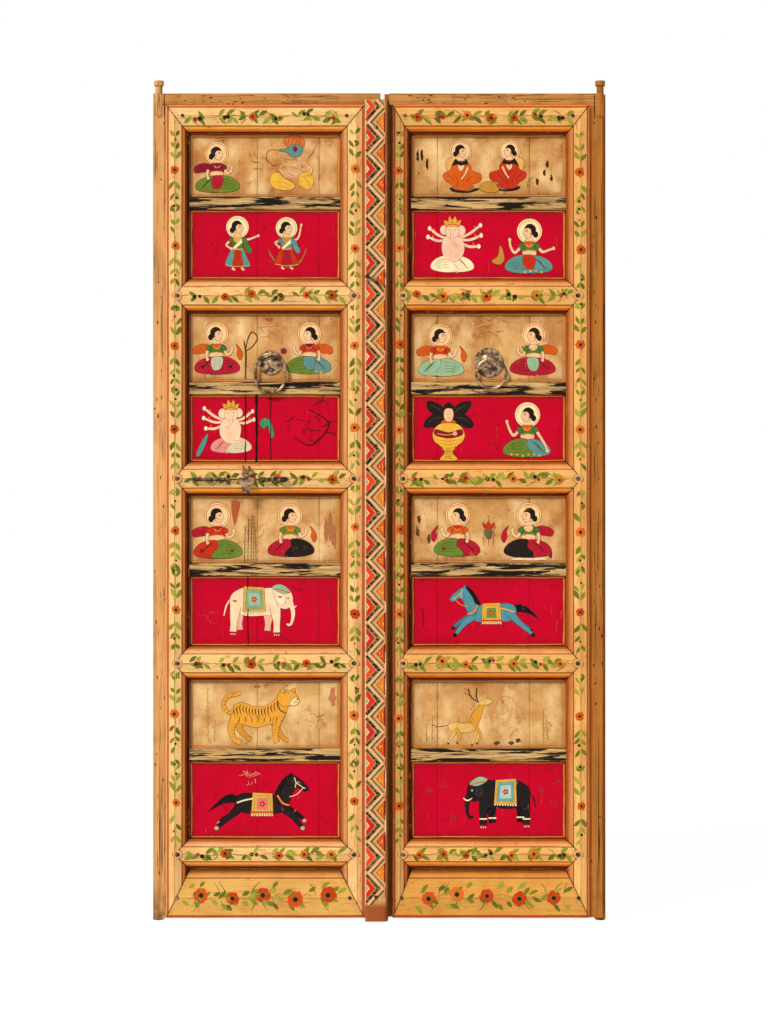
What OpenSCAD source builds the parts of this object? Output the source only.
// Pair of painted, panelled temple door leaves on wooden pivot posts.
// Upright, fronts facing -Y, +X to the right, +Z up.
// The origin is under the middle of the closed pair, at floor level.

/* [Leaves] */
// Width of the closed pair, outer post edge to outer post edge
door_w = 1135; // [1000:5:1500]
// Gap between the meeting edges of the two leaves
meet_gap = 10; // [4:1:14]
// How far the meeting gap lies to the right of the middle
meet_shift = 7.5; // [0:0.5:20]
// Height of the leaves' bottom edge above the floor
ground_gap = 9; // [8:1:20]
// Thickness of the timber behind the painted face frame
frame_t = 38; // [30:1:60]
// How far the bare posts and head rails stand in front of the planks
post_proud = 10; // [4:1:14]

/* [Pivot posts] */
// Width of the bare post in front, left and right leaf
post_w = [33, 42]; // [28:1:60]
// Width of the set-back outer edge, left and right leaf
post_rebate_w = [0, 8.5]; // [0:0.5:12]
// Distance of the pivot's centre from the leaf's outer edge
pivot_inset = 12.5; // [11:0.5:16]
// Radius of the wooden pivot's shank on top of the post
shank_r = 9; // [6:0.5:10]
// Radius of the knob at the top of the pivot
knob_r = 12.5; // [9:0.5:14]
// Height of the knob's cylindrical band
knob_h = 12; // [8:1:20]
// Height of the whole top pivot above the leaf
pivot_h = 35; // [25:1:60]
// Radius of the iron pin that stands in the post's foot
pin_r = 7; // [5:0.5:8]
// Length of the iron pin above its flange
pin_len = 40; // [25:1:60]
// Radius of the iron flange on the floor
flange_r = 12; // [9:0.5:12.5]
// Thickness of the iron flange
flange_t = 3; // [2:0.5:4]
// Running clearance between iron and wood
run_gap = 0.3; // [0.2:0.05:0.6]

/* [Face frame] */
// Thickness of the painted face frame at its edges
face_t = 20; // [16:0.5:24]
// How far the ridge stands above the edges
ridge_rise = 5; // [2:0.5:7]
// Width of the outer stiles
outer_stile_w = 58; // [50:1:80]
// Width of the inner stiles, left and right leaf
inner_stile_w = [62, 47]; // [44:1:80]
// Distance of the outer stile's ridge from the panel edge
outer_ridge_d = 36; // [28:1:40]
// Distance of the inner stile's ridge from the panel edge, left and right leaf
inner_ridge_d = [42, 28]; // [24:1:44]
// Width of the ovolo moulding round the panels
mould_w = 16; // [10:1:20]
// Height of the bottom rail
bottom_rail_h = 118; // [90:1:150]
// Gap between the bottom rail and the kick rail
kick_gap = 5; // [3:1:10]
// Height of the kick rail
kick_rail_h = 73; // [60:1:100]
// Height of the three middle rails
mid_rail_h = 83; // [70:1:100]
// Height of the top rail
top_rail_h = 71; // [60:1:90]
// Height of the bare head rail above the face frame
head_h = 30; // [20:1:50]
// Heights of the four panels, lowest first
panel_h = [400, 379, 375, 365]; // [300:1:480]

/* [Panels] */
// Thickness of the planks
plank_t = 16; // [10:1:22]
// How far the planks run behind the face frame
plank_cover = 16; // [10:1:24]
// Distance of the plank joints from the outer edge, left leaf
left_joints = [261, 416]; // [200:1:460]
// Distance of the plank joints from the outer edge, right leaf
right_joints = [191, 422]; // [160:1:460]
// Width of the joint between two planks
joint_gap = 0.8; // [0.4:0.1:2]
// Height of the bar across each panel
bar_h = 31; // [20:1:40]
// Thickness of the bar across each panel
bar_t = 8; // [5:0.5:9]
// Distance from the panel's top edge to its bar, lowest panel first
bar_drop = [174, 171, 174, 158]; // [120:1:220]
// Height of the ledges across the back
ledge_h = 70; // [50:1:100]

/* [Cover strip] */
// Width of the carved cover strip on the left leaf
strip_w = 59; // [54:1:70]
// Thickness of the cover strip
strip_t = 42; // [34:1:46]
// How far the strip laps past the left leaf's meeting edge
strip_lap = 20; // [16:1:26]
// Clearance between the strip's back and the right leaf
lap_gap = 0.6; // [0.4:0.1:3]
// Clearance between the strip's side and the right head rail
side_gap = 2; // [1:0.5:4]
// Height of one tooth of the zigzag
tooth_h = 78; // [50:1:100]
// Depth of the zigzag's carved triangles
carve_d = 1.5; // [0.5:0.5:3]

/* [Hardware] */
// Distance of the pull's centre from the meeting edge, left and right leaf
pull_inset = [276, 262]; // [200:1:320]
// Height of the pulls' plates above the lock rail
pull_rise = 250; // [230:1:265]
// Radius of the pull's plate, left and right leaf
plate_r = [31, 37]; // [28:1:40]
// Height of the ring's pivot above the plate's centre, left and right leaf
ring_lift = [21, 8]; // [6:1:22]
// Lean of the ring to the right in degrees, left and right leaf
ring_lean = [0, 8]; // [0:1:15]
// Length of the ring's straight sides, left and right leaf
ring_straight = [23, 0]; // [0:1:30]
// Radius of the ring to the middle of its rod
ring_r = 37; // [30:1:40]
// Radius of the ring's rod
rod_r = 3.5; // [2.5:0.5:4]
// Distance of the hasp's pin from the left meeting edge
hasp_inset = 335; // [280:1:380]
// Radius of the iron nail heads
nail_r = 4.5; // [3:0.5:6]

/* [Hidden] */
$fn = 48;

LEFT = 0;
RIGHT = 1;
over = 1;                           // how far a cutter runs past a face

// Finishes
bare_wood = [0.76, 0.55, 0.34];
cream_paint = [0.91, 0.78, 0.54];
plank_paint = [0.80, 0.09, 0.20];
bar_paint = [0.30, 0.25, 0.20];
strip_paint = [0.83, 0.42, 0.25];
old_iron = [0.20, 0.18, 0.17];

// Across: u runs from each leaf's outer edge towards the other leaf
meet_x = [meet_shift - meet_gap / 2, meet_shift + meet_gap / 2];
leaf_w = [door_w / 2 + meet_x[LEFT], door_w / 2 - meet_x[RIGHT]];
right_edge_w = strip_lap;           // bare edge of the right leaf beside the strip
face_end = [leaf_w[LEFT] + strip_lap - strip_w, leaf_w[RIGHT] - right_edge_w];
open_u0 = [post_w[LEFT] + outer_stile_w, post_w[RIGHT] + outer_stile_w];
open_u1 = [face_end[LEFT] - inner_stile_w[LEFT], face_end[RIGHT] - inner_stile_w[RIGHT]];
plank_u0 = [open_u0[LEFT] - plank_cover, open_u0[RIGHT] - plank_cover];
plank_u1 = [open_u1[LEFT] + plank_cover, open_u1[RIGHT] + plank_cover];
joints_u = [left_joints, right_joints];

// Up: bottom edges and heights of the face frame's rails, lowest first
rail_h = [bottom_rail_h, kick_rail_h, mid_rail_h, mid_rail_h, mid_rail_h, top_rail_h];
open_h = [kick_gap, panel_h[0], panel_h[1], panel_h[2], panel_h[3]];
function rail_z(i) = i == 0 ? ground_gap : rail_z(i - 1) + rail_h[i - 1] + open_h[i - 1];
top_rail = 5;
lock_rail = 3;
face_top = rail_z(top_rail) + top_rail_h;
pull_z = rail_z(lock_rail) + mid_rail_h + pull_rise;
leaf_top = face_top + head_h;
plank_z0 = ground_gap + bottom_rail_h / 2;
plank_z1 = rail_z(top_rail) + plank_cover;
head_lap_u = 19;                    // where the head rail's lap starts on the post
head_lap_y = 12;                    // depth of that lap

// Depth: y = 0 is the front of the planks, before the shift below
post_mid_y = (frame_t - post_proud) / 2;
hook_proud = 8;
front_reach = strip_t + hook_proud;
depth_shift = (front_reach - frame_t) / 2;

// Section of a face frame member: [distance across, height above the planks]
lip_w = 5;
lip_t = 9;
quirk = 2;
ovolo_steps = 5;
function moulded_edge() = concat(
    [[0, 0], [0, lip_t], [lip_w, lip_t]],
    [for (i = [1 : ovolo_steps]) let (a = 90 * i / ovolo_steps)
        [lip_w + (mould_w - lip_w) * (1 - cos(a)), lip_t + (face_t - quirk - lip_t) * sin(a)]],
    [[mould_w + quirk, face_t - quirk], [mould_w + quirk, face_t]]
);
function plain_edge() = [[0, 0], [0, face_t - quirk], [quirk, face_t]];
function across(points, w) = [for (i = [len(points) - 1 : -1 : 0]) [w - points[i][0], points[i][1]]];
function member(w, ridge, first, last) = concat(first, [[ridge, face_t + ridge_rise]], across(last, w));

module leaf(side) {
    translate([0, depth_shift, 0])
        if (side == LEFT) translate([-door_w / 2, 0, 0]) children();
        else translate([door_w / 2, 0, 0]) mirror([1, 0, 0]) children();
}

module block(u0, u1, y0, y1, z0, z1) {
    translate([u0, y0, z0]) cube([u1 - u0, y1 - y0, z1 - z0]);
}

// Carries a section drawn as (y, z) along u
module along_u(u0, u1) {
    translate([u0, 0, 0]) rotate([90, 0, 90]) linear_extrude(u1 - u0) children();
}

// Carries a plan drawn as (u, z) through the face frame's depth
module through_face() {
    translate([0, over, 0]) rotate([90, 0, 0]) linear_extrude(face_t + ridge_rise + 2 * over) children();
}

module rod(from, to, r) {
    run = to - from;
    translate(from)
        rotate([0, acos(run[2] / norm(run)), atan2(run[1], run[0])])
            cylinder(h = norm(run), r = r);
}

// Round piece that stands out of the face: the profile is (radius, height)
module turned(profile) {
    rotate([90, 0, 0]) rotate_extrude() polygon(profile);
}

// ---- Floor pintles ----
module floor_pintle(side) {
    color(old_iron) leaf(side) translate([pivot_inset, post_mid_y, 0]) {
        cylinder(h = flange_t, r = flange_r);
        cylinder(h = flange_t + pin_len - 2, r = pin_r);
        translate([0, 0, flange_t + pin_len - 2]) cylinder(h = 2, r1 = pin_r, r2 = pin_r - 2);
    }
}

// ---- Timber frame ----
foot_z = flange_t + run_gap;
foot_w = 27;

module post(side) {
    w = post_w[side];
    step_w = post_rebate_w[side];
    step_y = step_w > 0 ? post_proud + 4 : 0;
    color(bare_wood) leaf(side) {
        difference() {
            union() {
                translate([0, 0, ground_gap]) linear_extrude(leaf_top - ground_gap) polygon([
                    [0, step_y - post_proud], [step_w, step_y - post_proud], [step_w, -post_proud],
                    [w, -post_proud], [w, 0], [plank_u0[side], 0], [plank_u0[side], frame_t],
                    [0, frame_t]
                ]);
                block(0, foot_w, step_y - post_proud, frame_t, foot_z, ground_gap);
            }
            block(head_lap_u, plank_u0[side] + over, -post_proud - over, head_lap_y,
                face_top, leaf_top + over);
            translate([pivot_inset, post_mid_y, foot_z - over])
                cylinder(h = over + pin_len + run_gap, r = pin_r + run_gap);
        }
        translate([pivot_inset, post_mid_y, leaf_top]) {
            cylinder(h = pivot_h - knob_h, r = shank_r);
            translate([0, 0, pivot_h - knob_h]) cylinder(h = knob_h, r = knob_r);
        }
    }
}

module head_rail(side) {
    front_end = side == LEFT ? leaf_w[LEFT] : leaf_w[RIGHT] + meet_gap - strip_lap - side_gap;
    color(bare_wood) leaf(side) difference() {
        union() {
            block(head_lap_u, front_end, -post_proud, 0, face_top, leaf_top);
            block(head_lap_u, plank_u1[side], 0, head_lap_y, face_top, leaf_top);
            block(plank_u0[side], plank_u1[side], head_lap_y, frame_t, face_top, leaf_top);
            block(plank_u0[side], plank_u1[side], 0, frame_t, plank_z1, face_top);
        }
        if (side == LEFT)
            block(face_end[LEFT], leaf_w[LEFT] + over, -post_proud - over, 0,
                face_top - over, strip_top + run_gap);
    }
}

// Runs up behind the head rail's front
module meeting_stile(side) {
    color(bare_wood) leaf(side)
        block(plank_u1[side], leaf_w[side], 0, frame_t, ground_gap, leaf_top);
}

module sill_rail(side) {
    color(bare_wood) leaf(side)
        block(plank_u0[side], plank_u1[side], 0, frame_t, ground_gap, plank_z0);
}

module ledge(side, rail) {
    middle = rail_z(rail) + mid_rail_h / 2;
    color(bare_wood) leaf(side)
        block(plank_u0[side], plank_u1[side], plank_t, frame_t, middle - ledge_h / 2, middle + ledge_h / 2);
}

// ---- Planks and panel bars ----
function plank_from(side, i) = i == 0 ? plank_u0[side] : joints_u[side][i - 1] + joint_gap / 2;
function plank_to(side, i) = i == 2 ? plank_u1[side] : joints_u[side][i] - joint_gap / 2;

module plank(side, i) {
    color(plank_paint) leaf(side) difference() {
        block(plank_from(side, i), plank_to(side, i), 0, plank_t, plank_z0, plank_z1);
        eye_stem(side);
    }
}

module bars(side) {
    arris = 1;
    color(bar_paint) leaf(side)
        for (i = [0 : 3]) {
            top = rail_z(i + 2) - bar_drop[i];
            along_u(open_u0[side], open_u1[side]) polygon([
                [0, top], [arris - bar_t, top], [-bar_t, top - arris],
                [-bar_t, top - bar_h + arris], [arris - bar_t, top - bar_h], [0, top - bar_h]
            ]);
        }
}

// ---- Face frame ----
function ridge_d(side, inner) = inner ? inner_ridge_d[side] : outer_ridge_d;

// Plan of a middle rail: pointed ends that run into the stiles' ridges
function pointed_plan(side, z0, h) = let (
    u0 = open_u0[side], u1 = open_u1[side], m = mould_w, mid = z0 + h / 2,
    a = ridge_d(side, false), b = ridge_d(side, true)
) [
    [u0, z0], [u1, z0], [u1 + m, z0 + m], [u1 + b, mid], [u1 + m, z0 + h - m],
    [u1, z0 + h], [u0, z0 + h], [u0 - m, z0 + h - m], [u0 - a, mid], [u0 - m, z0 + m]
];

// Plan of the top rail: mitred to the frame's outer corners
function top_plan(side) = let (
    u0 = open_u0[side], u1 = open_u1[side], m = mould_w, z0 = rail_z(top_rail)
) [
    [u0, z0], [u1, z0], [u1 + m, z0 + m], [face_end[side], face_top],
    [post_w[side], face_top], [u0 - m, z0 + m]
];

// Plan of the bottom rail: one steep mitre at each end
function bottom_plan(side) = [
    [post_w[side], ground_gap], [face_end[side], ground_gap],
    [open_u1[side], ground_gap + bottom_rail_h], [open_u0[side], ground_gap + bottom_rail_h]
];

function rail_plan(side, rail) =
    rail == 0 ? bottom_plan(side) :
    rail == top_rail ? top_plan(side) : pointed_plan(side, rail_z(rail), rail_h[rail]);

// Nails: one near each end of each rail, [u, z]
nail_back = 9;
bottom_nail_d = 30;
top_nail_d = 16;
function rail_ridge(rail) = rail == 0 ? (bottom_rail_h - mould_w) / 2 :
    rail == top_rail ? (top_rail_h + mould_w) / 2 : rail_h[rail] / 2;
function nail_d(side, rail, inner) = rail == 0 ? (inner ? bottom_nail_d - 6 : bottom_nail_d) :
    rail == top_rail ? top_nail_d : ridge_d(side, inner) - nail_back;
function nail_points(side) = [for (rail = [0 : top_rail]) for (inner = [false, true])
    [inner ? open_u1[side] + nail_d(side, rail, inner) : open_u0[side] - nail_d(side, rail, inner),
        rail_z(rail) + rail_ridge(rail)]];
nail_shank_r = 1.6;
nail_shank = 14;

module nail_shanks(side, extra) {
    for (p = nail_points(side))
        translate([p[0], -face_t - ridge_rise - over, p[1]]) rotate([-90, 0, 0])
            cylinder(h = nail_shank + over + extra, r = nail_shank_r + extra);
}

module stile(side, inner) {
    w = inner ? inner_stile_w[side] : outer_stile_w;
    start = inner ? open_u1[side] : post_w[side];
    ridge = inner ? inner_ridge_d[side] : w - outer_ridge_d;
    section = inner ? member(w, ridge, moulded_edge(), plain_edge())
        : member(w, ridge, plain_edge(), moulded_edge());
    color(cream_paint) leaf(side) difference() {
        translate([start, 0, ground_gap]) linear_extrude(face_top - ground_gap)
            polygon([for (p = section) [p[0], -p[1]]]);
        for (rail = [0 : top_rail]) through_face() polygon(rail_plan(side, rail));
    }
}

module rail(side, rail) {
    h = rail_h[rail];
    low = rail == 0 ? plain_edge() : moulded_edge();
    high = rail == top_rail ? plain_edge() : moulded_edge();
    section = member(h, rail_ridge(rail), low, high);
    color(cream_paint) leaf(side) difference() {
        intersection() {
            along_u(post_w[side], face_end[side])
                polygon([for (p = section) [-p[1], rail_z(rail) + p[0]]]);
            through_face() polygon(rail_plan(side, rail));
        }
        nail_shanks(side, 0.1);
        if (side == LEFT && rail == lock_rail) staple_legs(0.1);
    }
}

module nails(side) {
    head_h = 2.5;
    color(old_iron) leaf(side) {
        nail_shanks(side, 0);
        for (p = nail_points(side))
            translate([p[0], -face_t - ridge_rise, p[1]])
                turned([[0, 0], [nail_r, 0], [nail_r * 0.8, head_h * 0.7], [0, head_h]]);
    }
}

// ---- Ring pulls ----
lug_w = 6;
lug_r = 8;
lug_y = 14;                         // distance of the ring's pivot in front of the planks
stem_r = 4;
dome_r = 22;
dome_h = 9;
plate_t = 3;
boss_r = 6.5;
boss_h = 10;
function pull_u(side) = leaf_w[side] - pull_inset[side];
// The right leaf is mirrored, so a lean to the right is a lean to -u there
function lean(side) = side == LEFT ? -ring_lean[side] : ring_lean[side];

module at_ring_pivot(side) {
    translate([pull_u(side), -lug_y, pull_z + ring_lift[side]]) rotate([0, lean(side), 0]) children();
}

module eye_stem(side) {
    at_ring_pivot(side) translate([0, lug_y - over, 0]) rotate([-90, 0, 0])
        cylinder(h = plank_t + 2 * over, r = stem_r);
}

module lug(side, extra) {
    at_ring_pivot(side) translate([-lug_w / 2 - extra, 0, -lug_r - extra])
        cube([lug_w + 2 * extra, lug_y, 2 * (lug_r + extra)]);
}

module pull_plate(side) {
    dome = [for (a = [90 : -15 : 0]) [dome_r * sin(a), plate_t + (dome_h - plate_t) * cos(a)]];
    color(old_iron) leaf(side) difference() {
        translate([pull_u(side), 0, pull_z]) {
            turned(concat([[0, 0], [plate_r[side], 0], [plate_r[side], plate_t - 1],
                [plate_r[side] - 1, plate_t]], dome));
            if (side == LEFT)
                turned([[0, dome_h / 2], [boss_r, dome_h / 2], [boss_r, boss_h - 2],
                    [boss_r * 0.6, boss_h - 0.5], [0, boss_h]]);
        }
        lug(side, 0.1);
    }
}

module pull_eye(side) {
    rove_r = 9;
    rove_t = 2;
    color(old_iron) leaf(side) {
        difference() {
            union() {
                lug(side, 0);
                at_ring_pivot(side) rotate([0, 90, 0])
                    cylinder(h = lug_w, r = lug_r, center = true);
            }
            at_ring_pivot(side) rotate([0, 90, 0])
                cylinder(h = lug_w + 2 * over, r = rod_r + 0.5, center = true);
        }
        at_ring_pivot(side) translate([0, lug_y, 0]) rotate([-90, 0, 0]) {
            cylinder(h = plank_t, r = stem_r);
            translate([0, 0, plank_t]) cylinder(h = rove_t, r1 = rove_r, r2 = rove_r - 1);
        }
    }
}

module pull_ring(side) {
    half = ring_straight[side] / 2;
    color(old_iron) leaf(side) at_ring_pivot(side) translate([0, 0, -ring_r - half])
        if (half > 0) {
            for (flip = [0, 1]) mirror([0, 0, flip]) translate([0, 0, half]) rotate([90, 0, 0])
                rotate_extrude(angle = 180) translate([ring_r, 0]) circle(r = rod_r);
            for (s = [-1, 1]) translate([s * ring_r, 0, -half]) cylinder(h = 2 * half, r = rod_r);
        }
        else rotate([90, 0, 0]) rotate_extrude() translate([ring_r, 0]) circle(r = rod_r);
}

// ---- Carved cover strip ----
strip_x0 = meet_x[LEFT] + strip_lap - strip_w;
strip_x1 = meet_x[LEFT] + strip_lap;
strip_bottom = foot_z;
strip_top = face_top + 10.5;
left_bevel = 3;
right_bevel = 8;
right_bevel_t = 12;
foot_bare = 44;                     // uncarved wood at the strip's foot
teeth = floor((strip_top - strip_bottom - foot_bare) / tooth_h);
band_w = 21;                        // width left for the zigzag band between the triangles

// One carved triangle: its base on the strip's edge line, pointing across
module carved_triangle(base_x, way, z) {
    reach = strip_w - left_bevel - right_bevel - band_w;
    translate([base_x, 0, z])
        rotate([90, 0, 0]) linear_extrude(2 * carve_d, center = true)
            polygon([[0, -tooth_h * 0.36], [way * reach * 0.92, 0], [0, tooth_h * 0.36]]);
}

module cover_strip() {
    color(strip_paint) translate([0, depth_shift, 0]) difference() {
        translate([0, 0, strip_bottom]) linear_extrude(strip_top - strip_bottom) polygon([
            [strip_x0, 0], [meet_x[LEFT], 0], [meet_x[LEFT], -lap_gap], [strip_x1, -lap_gap],
            [strip_x1, right_bevel_t - strip_t], [strip_x1 - right_bevel, -strip_t],
            [strip_x0 + left_bevel, -strip_t], [strip_x0, left_bevel - strip_t]
        ]);
        for (i = [0 : teeth - 1]) translate([0, -strip_t, strip_bottom + foot_bare]) {
            carved_triangle(strip_x0 + left_bevel, 1, (i + 0.5) * tooth_h);
            if (i > 0) carved_triangle(strip_x1 - right_bevel, -1, i * tooth_h);
        }
        strip_nail_shanks(0.1);
        hook_leg(0.1);
    }
}

strip_nail_z = [ground_gap + 56, rail_z(2) + 35, rail_z(lock_rail) + mid_rail_h + 40, rail_z(top_rail) + 12];
module strip_nail_shanks(extra) {
    for (z = strip_nail_z)
        translate([strip_nail_x, -strip_t - over, z]) rotate([-90, 0, 0])
            cylinder(h = nail_shank + over + extra, r = nail_shank_r + extra);
}
strip_nail_x = (strip_x0 + meet_x[LEFT]) / 2 + 8;

module cover_strip_nails() {
    head_h = 3;
    color(old_iron) translate([0, depth_shift, 0]) {
        strip_nail_shanks(0);
        for (z = strip_nail_z) translate([strip_nail_x, -strip_t, z])
            turned([[0, 0], [nail_r, 0], [nail_r * 0.8, head_h * 0.7], [0, head_h]]);
    }
}

// ---- Hook on the cover strip, rusted fast ----
hook_z = rail_z(4) + mid_rail_h + 4;
hook_from = [strip_x0 + 5.5, hook_z];
hook_bend = [strip_x0 + 28, hook_z - 11];
hook_tip = [strip_x0 + 40, hook_z - 27];
hook_rod_r = 2.8;

module hook_leg(extra) {
    translate([hook_from[0], -strip_t - over, hook_from[1]]) rotate([-90, 0, 0])
        cylinder(h = nail_shank + over + extra, r = 2 + extra);
}

module strip_hook() {
    y = -strip_t - hook_proud / 2;
    points = [for (p = [hook_from, hook_bend, hook_tip]) [p[0], y, p[1]]];
    color(old_iron) translate([0, depth_shift, 0]) {
        hook_leg(0);
        translate([hook_from[0], -strip_t, hook_from[1]])
            turned([[0, 0], [5, 0], [5, hook_proud - 1.5], [3.5, hook_proud], [0, hook_proud]]);
        for (i = [0, 1]) rod(points[i], points[i + 1], hook_rod_r);
        for (i = [1, 2]) translate(points[i]) sphere(r = hook_rod_r);
    }
}

// ---- Hasp, its staple and the old latch bar on the left lock rail ----
rail_ridge_z = rail_z(lock_rail) + mid_rail_h / 2;
hasp_u = leaf_w[LEFT] - hasp_inset;
hasp_z = rail_ridge_z + 9;
hasp_y = -face_t - ridge_rise - 9.5;
hinge_r = 2.5;
barrel_r = 4.6;
barrel_w = 9;
strap_w = 5;
strap_h = 24;
strap_gap = 0.5;
leg_r = 2.2;

module staple_legs(extra) {
    for (s = [-1, 1])
        translate([hasp_u + s * (barrel_w / 2 + strap_gap + strap_w / 2), hasp_y, hasp_z + strap_h - 7])
            rotate([-90, 0, 0]) cylinder(h = 24 + extra, r = leg_r + extra);
}

module hasp_staple() {
    strap_x = barrel_w / 2 + strap_gap;
    color(old_iron) leaf(LEFT) {
        staple_legs(0);
        for (s = [-1, 1]) translate([hasp_u + s * (strap_x + strap_w / 2), hasp_y, hasp_z]) {
            translate([-strap_w / 2, -barrel_r, 0]) cube([strap_w, 2 * barrel_r, strap_h]);
            rotate([0, 90, 0]) cylinder(h = strap_w, r = barrel_r, center = true);
        }
        translate([hasp_u, hasp_y, hasp_z]) rotate([0, 90, 0])
            cylinder(h = 2 * (strap_x + strap_w) - 1, r = hinge_r, center = true);
    }
}

module hasp() {
    plate = 2.5;
    neck = 6.5;
    color(old_iron) leaf(LEFT) translate([hasp_u, hasp_y, hasp_z]) difference() {
        union() {
            rotate([0, 90, 0]) cylinder(h = barrel_w, r = barrel_r, center = true);
            translate([0, plate / 2, 0]) rotate([90, 0, 0]) linear_extrude(plate) polygon([
                [-barrel_w / 2, 0], [-barrel_w / 2, -neck], [-17, -neck], [-20, -10], [-19, -18],
                [-12, -27], [-8, -45], [8, -45], [12, -27], [19, -18], [20, -10], [17, -neck],
                [barrel_w / 2, -neck], [barrel_w / 2, 0]
            ]);
        }
        rotate([0, 90, 0]) cylinder(h = barrel_w + 2 * over, r = hinge_r + run_gap, center = true);
        for (z = [-23, -31]) translate([0, 0, z]) rotate([90, 0, 0])
            cylinder(h = plate + 2 * over, r = 2, center = true);
    }
}

// Forged bar lying along the rail's ridge: [distance along, radius]
bar_u0 = hasp_u - 139;
bar_profile = [
    [0, 0], [0, 3.5], [3, 4.4], [92, 4.4], [96, 3], [98, 2], [170, 2], [172, 5], [178, 7],
    [184, 7], [188, 4], [194, 5.5], [200, 3.5], [208, 5.5], [214, 3], [222, 6], [232, 7],
    [240, 5], [244, 2], [246, 0]
];
bar_axis_y = -face_t - ridge_rise - 4.5;

module latch_bar() {
    color(old_iron) leaf(LEFT) {
        difference() {
            translate([bar_u0, bar_axis_y, rail_ridge_z - 2.5]) rotate([0, 90, 0])
                rotate_extrude() polygon([for (p = bar_profile) [p[1], p[0]]]);
            block(bar_u0 - over, bar_u0 + 250, -face_t - ridge_rise, 0, rail_ridge_z - 20, rail_ridge_z + 20);
        }
    }
}

// ---- Build ----
floor_pintle(LEFT);  // left_floor_pintle
floor_pintle(RIGHT);  // right_floor_pintle

post(LEFT);  // left_post
head_rail(LEFT);  // left_head_rail
meeting_stile(LEFT);  // left_meeting_stile
sill_rail(LEFT);  // left_sill_rail
plank(LEFT, 0);  // left_plank_outer
plank(LEFT, 1);  // left_plank_middle
plank(LEFT, 2);  // left_plank_inner
ledge(LEFT, 4);  // left_ledge_upper
ledge(LEFT, 2);  // left_ledge_lower
stile(LEFT, false);  // left_outer_stile
stile(LEFT, true);  // left_inner_stile
rail(LEFT, 5);  // left_top_rail
rail(LEFT, 4);  // left_upper_rail
rail(LEFT, 3);  // left_lock_rail
rail(LEFT, 2);  // left_lower_rail
rail(LEFT, 1);  // left_kick_rail
rail(LEFT, 0);  // left_bottom_rail
bars(LEFT);  // left_bars
nails(LEFT);  // left_nails
pull_plate(LEFT);  // left_pull_plate
pull_eye(LEFT);  // left_pull_eye
pull_ring(LEFT);  // left_pull_ring

post(RIGHT);  // right_post
head_rail(RIGHT);  // right_head_rail
meeting_stile(RIGHT);  // right_meeting_stile
sill_rail(RIGHT);  // right_sill_rail
plank(RIGHT, 0);  // right_plank_outer
plank(RIGHT, 1);  // right_plank_middle
plank(RIGHT, 2);  // right_plank_inner
ledge(RIGHT, 4);  // right_ledge_upper
ledge(RIGHT, 2);  // right_ledge_lower
stile(RIGHT, false);  // right_outer_stile
stile(RIGHT, true);  // right_inner_stile
rail(RIGHT, 5);  // right_top_rail
rail(RIGHT, 4);  // right_upper_rail
rail(RIGHT, 3);  // right_lock_rail
rail(RIGHT, 2);  // right_lower_rail
rail(RIGHT, 1);  // right_kick_rail
rail(RIGHT, 0);  // right_bottom_rail
bars(RIGHT);  // right_bars
nails(RIGHT);  // right_nails
pull_plate(RIGHT);  // right_pull_plate
pull_eye(RIGHT);  // right_pull_eye
pull_ring(RIGHT);  // right_pull_ring

cover_strip();
cover_strip_nails();
strip_hook();
latch_bar();
hasp_staple();
hasp();
